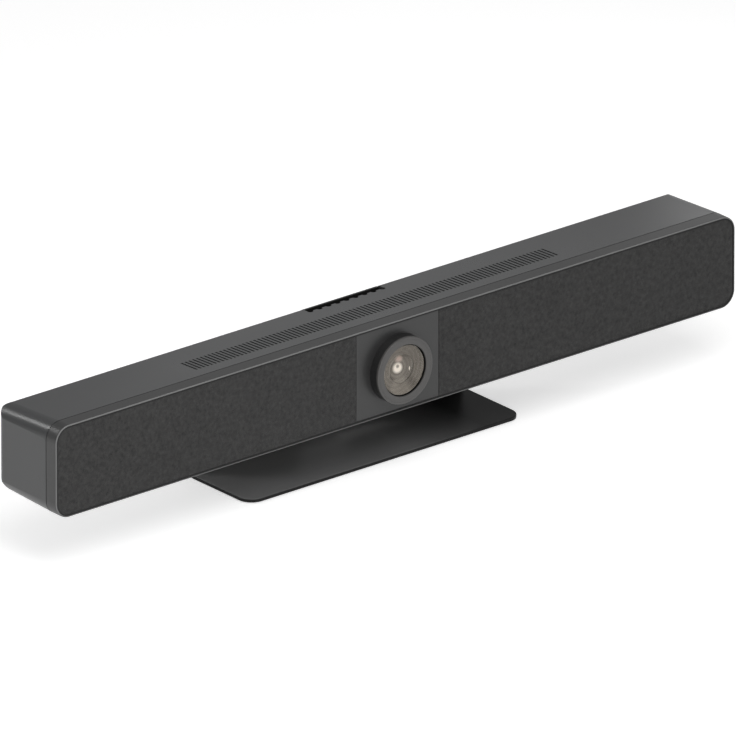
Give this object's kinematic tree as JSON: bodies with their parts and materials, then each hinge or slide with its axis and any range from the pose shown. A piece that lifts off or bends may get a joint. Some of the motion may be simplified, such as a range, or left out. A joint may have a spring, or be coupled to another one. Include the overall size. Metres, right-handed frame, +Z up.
{
  "type": "conference camera",
  "caption": "Long video bar with a round lens collar between cloth grilles, top vents and rear ports, tilting on the hinges of a bent steel table stand.",
  "frame": {"origin": "on the table under the middle of the whole object: halfway along its width and halfway between the lens collar and the rear of the stand", "axes": "+X along the bar, to the right as seen from the front; +Y to the rear, so the lens looks towards -Y; +Z up"},
  "size_m": [0.89, 0.131, 0.1603],
  "materials": {
    "housing": "fine satin texture",
    "rim": "satin with a bright softened bevel",
    "cloth": "fine woven acoustic cloth",
    "carrier": "matt black",
    "panel": "smooth satin",
    "collar": "satin",
    "lens_black": "matt black, stepped",
    "glass": "coated optical glass",
    "sensor": "polished",
    "steel": "zinc-plated sheet",
    "board": "green solder mask",
    "alloy": "dark anodised",
    "black_plastic": "moulded",
    "enclosure": "moulded",
    "basket": "black",
    "magnet": "plated",
    "cone": "pressed paper",
    "rubber": "matt",
    "brass": "turned",
    "socket": "plated shell",
    "screw": "black zinc",
    "stand": "fine satin powder coat",
    "button": "satin"
  },
  "bodies": {
    "stand": {"stand_plate": "stand", "left_stand_leaf": "stand", "right_stand_leaf": "stand", "left_hinge_pin": "steel", "right_hinge_pin": "steel", "stand_screws": "screw", "feet": "rubber"},
    "bar": {"front_frame": "rim", "rear_housing": "housing", "left_grille": "cloth", "right_grille": "cloth", "left_grille_carrier": "carrier", "right_grille_carrier": "carrier", "centre_panel": "panel", "lens_ring": "collar", "lens_hood": "lens_black", "cover_glass": "glass", "lens_barrel": "lens_black", "front_lens": "glass", "rear_lens": "glass", "lens_holder": "black_plastic", "image_sensor": "sensor", "sensor_board": "board", "camera_bracket": "steel", "chassis_plate": "steel", "main_board": "board", "heatsink": "alloy", "fan_frame": "black_plastic", "rear_vent": "black_plastic", "left_enclosure": "enclosure", "right_enclosure": "enclosure", "left_basket": "basket", "right_basket": "basket", "left_magnet": "magnet", "right_magnet": "magnet", "left_cone": "cone", "right_cone": "cone", "left_surround": "rubber", "right_surround": "rubber", "left_tweeter": "basket", "right_tweeter": "basket", "left_mic_board": "board", "right_mic_board": "board", "left_antenna": "board", "right_antenna": "board", "port_board": "board", "network_socket": "socket", "display_sockets": "socket", "data_sockets": "socket", "power_inlet": "black_plastic", "button_board": "board", "wall_inserts": "brass", "case_screws": "screw", "camera_screws": "screw", "board_screws": "screw", "left_bar_leaf": "stand", "right_bar_leaf": "stand", "leaf_screws": "screw"},
    "fan": {"fan_rotor": "black_plastic"},
    "button": {"power_button": "button"}
  },
  "joints": [
    {"name": "bar_tilt", "type": "hinge", "parent": "stand", "child": "bar", "pos_m": [0, 0.05013, 0.1103], "axis": [1, 0, 0], "range_deg": [-10, 10]},
    {"name": "fan_spin", "type": "hinge", "parent": "bar", "child": "fan", "pos_m": [0.105, -0.00988, 0.1453], "axis": [0, 0, 1], "continuous": true},
    {"name": "power_press", "type": "slide", "parent": "bar", "child": "button", "axis": [0, -1, 0], "range_m": [0, 0.001], "stiffness_N_per_m": 1500, "springref_m": -0.0005}
  ]
}
